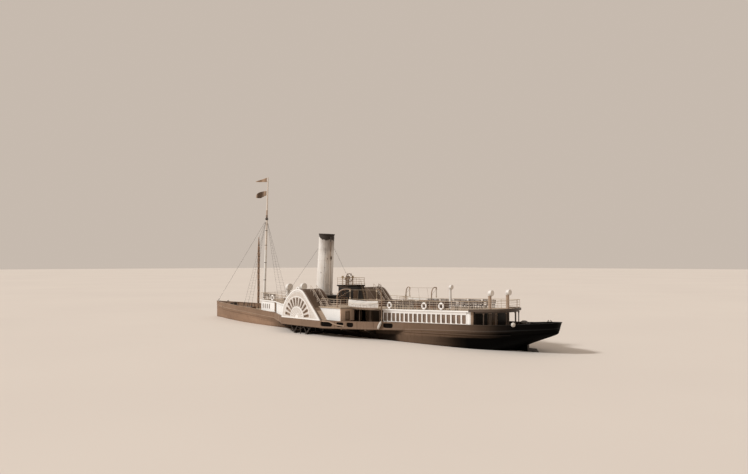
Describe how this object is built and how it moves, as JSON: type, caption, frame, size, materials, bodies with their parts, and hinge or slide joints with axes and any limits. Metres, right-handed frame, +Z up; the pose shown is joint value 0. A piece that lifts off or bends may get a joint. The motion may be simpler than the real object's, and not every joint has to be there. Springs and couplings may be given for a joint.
{
  "type": "paddle steamer, scale model 1:2",
  "caption": "Side-wheel passenger steamer with counter stern, raked funnel, single mast, promenade deck and slatted paddle boxes, half-size model.",
  "frame": {"origin": "on the centreline at the waterline, amidships of the waterline length", "axes": "+X to the bow, +Y to port, +Z up"},
  "size_m": [32.3424, 7.03, 11.8326],
  "materials": {
    "hull_black": "satin",
    "topside_brown": "satin",
    "deck_wood": "matt",
    "cream": "gloss",
    "house_white": "gloss",
    "crown_brown": "satin",
    "wheel_iron": "matt",
    "door_wood": "gloss",
    "rail_paint": "gloss",
    "spar": "satin",
    "rope": "matt",
    "sail": "matt",
    "flag_cloth": "matt",
    "boat_white": "gloss",
    "fitting_iron": "satin",
    "dark_house": "gloss"
  },
  "bodies": {
    "ship": {"aft_saloon": "house_white", "alley_frame_port": "rail_paint", "alley_frame_starboard": "rail_paint", "bridge_house": "dark_house", "bridge_platform": "rail_paint", "bulwark_aft": "topside_brown", "bulwark_fore": "topside_brown", "davits_port": "fitting_iron", "davits_starboard": "fitting_iron", "engine_casing": "dark_house", "engine_skylight": "door_wood", "fore_house": "house_white", "forestay": "rope", "funnel": "cream", "funnel_casing": "dark_house", "furled_sail": "sail", "helm_stand": "door_wood", "house_flag": "flag_cloth", "hull": "hull_black", "lifeboat_port": "boat_white", "lifeboat_starboard": "boat_white", "main_deck": "deck_wood", "mast": "spar", "paddle_box_port": "crown_brown", "paddle_box_starboard": "crown_brown", "paddle_face_port": "house_white", "paddle_face_starboard": "house_white", "pennant": "flag_cloth", "promenade_deck": "deck_wood", "rail_aft": "rail_paint", "rail_fore": "rail_paint", "saloon_skylight": "door_wood", "shrouds_port": "rope", "shrouds_starboard": "rope", "sponson_house_port": "house_white", "sponson_house_starboard": "house_white", "sponson_port": "topside_brown", "sponson_starboard": "topside_brown", "stokehold_vents": "cream", "vent_aft_port": "cream", "vent_aft_starboard": "cream", "vent_saloon": "cream", "veranda_frame": "rail_paint", "wing_wall_port": "house_white", "wing_wall_starboard": "house_white"},
    "paddle_wheels": {"paddle_wheel_port": "wheel_iron", "paddle_wheel_starboard": "wheel_iron", "paddle_shaft": "wheel_iron"},
    "rudder": {"rudder": "hull_black"},
    "helm": {"helm_wheel": "door_wood"},
    "capstan": {"capstan": "fitting_iron"},
    "bridge_door": {"bridge_door": "door_wood"},
    "fore_door_port": {"fore_door_port": "door_wood"},
    "fore_door_starboard": {"fore_door_starboard": "door_wood"},
    "saloon_door_port": {"saloon_door_port": "door_wood"},
    "saloon_door_starboard": {"saloon_door_starboard": "door_wood"},
    "sponson_door_port": {"sponson_door_port": "door_wood"},
    "sponson_door_starboard": {"sponson_door_starboard": "door_wood"},
    "veranda_door_port": {"veranda_door_port": "door_wood"},
    "veranda_door_starboard": {"veranda_door_starboard": "door_wood"}
  },
  "joints": [
    {"name": "paddle_turn", "type": "hinge", "parent": "ship", "child": "paddle_wheels", "pos_m": [-0.415, 0, 0.94], "axis": [0, 1, 0], "continuous": true},
    {"name": "rudder_steer", "type": "hinge", "parent": "ship", "child": "rudder", "pos_m": [-15, 0, -0.35], "axis": [0, 0, 1], "range_deg": [-35, 35]},
    {"name": "helm_turn", "type": "hinge", "parent": "ship", "child": "helm", "pos_m": [-1.24, 0, 3.435], "axis": [1, 0, 0], "range_deg": [-700, 700]},
    {"name": "capstan_turn", "type": "hinge", "parent": "ship", "child": "capstan", "pos_m": [12.7, 0, 1], "axis": [0, 0, 1], "continuous": true},
    {"name": "fore_door_port_swing", "type": "hinge", "parent": "ship", "child": "fore_door_port", "pos_m": [6.68, 0.86, 1.15], "axis": [0, 0, 1], "range_deg": [0, 90]},
    {"name": "saloon_door_port_swing", "type": "hinge", "parent": "ship", "child": "saloon_door_port", "pos_m": [-6.42, 1.035, 1.15], "axis": [0, 0, 1], "range_deg": [0, 90]},
    {"name": "veranda_door_port_swing", "type": "hinge", "parent": "ship", "child": "veranda_door_port", "pos_m": [-12.78, 0.405, 1.35], "axis": [0, 0, -1], "range_deg": [0, 90]},
    {"name": "sponson_door_port_swing", "type": "hinge", "parent": "ship", "child": "sponson_door_port", "pos_m": [-3.87, 2.55, 1.1], "axis": [0, 0, -1], "range_deg": [0, 90]},
    {"name": "fore_door_starboard_swing", "type": "hinge", "parent": "ship", "child": "fore_door_starboard", "pos_m": [6.68, -0.86, 1.15], "axis": [0, 0, -1], "range_deg": [0, 90]},
    {"name": "saloon_door_starboard_swing", "type": "hinge", "parent": "ship", "child": "saloon_door_starboard", "pos_m": [-6.42, -1.035, 1.15], "axis": [0, 0, -1], "range_deg": [0, 90]},
    {"name": "veranda_door_starboard_swing", "type": "hinge", "parent": "ship", "child": "veranda_door_starboard", "pos_m": [-12.78, -0.405, 1.35], "axis": [0, 0, 1], "range_deg": [0, 90]},
    {"name": "sponson_door_starboard_swing", "type": "hinge", "parent": "ship", "child": "sponson_door_starboard", "pos_m": [-3.87, -2.55, 1.1], "axis": [0, 0, 1], "range_deg": [0, 90]},
    {"name": "bridge_door_swing", "type": "hinge", "parent": "ship", "child": "bridge_door", "pos_m": [-1.855, 0.18, 2.2], "axis": [0, 0, -1], "range_deg": [0, 90]}
  ],
  "couplings": [
    {"joint": "helm_turn", "follows": "rudder_steer", "ratio": 20}
  ]
}
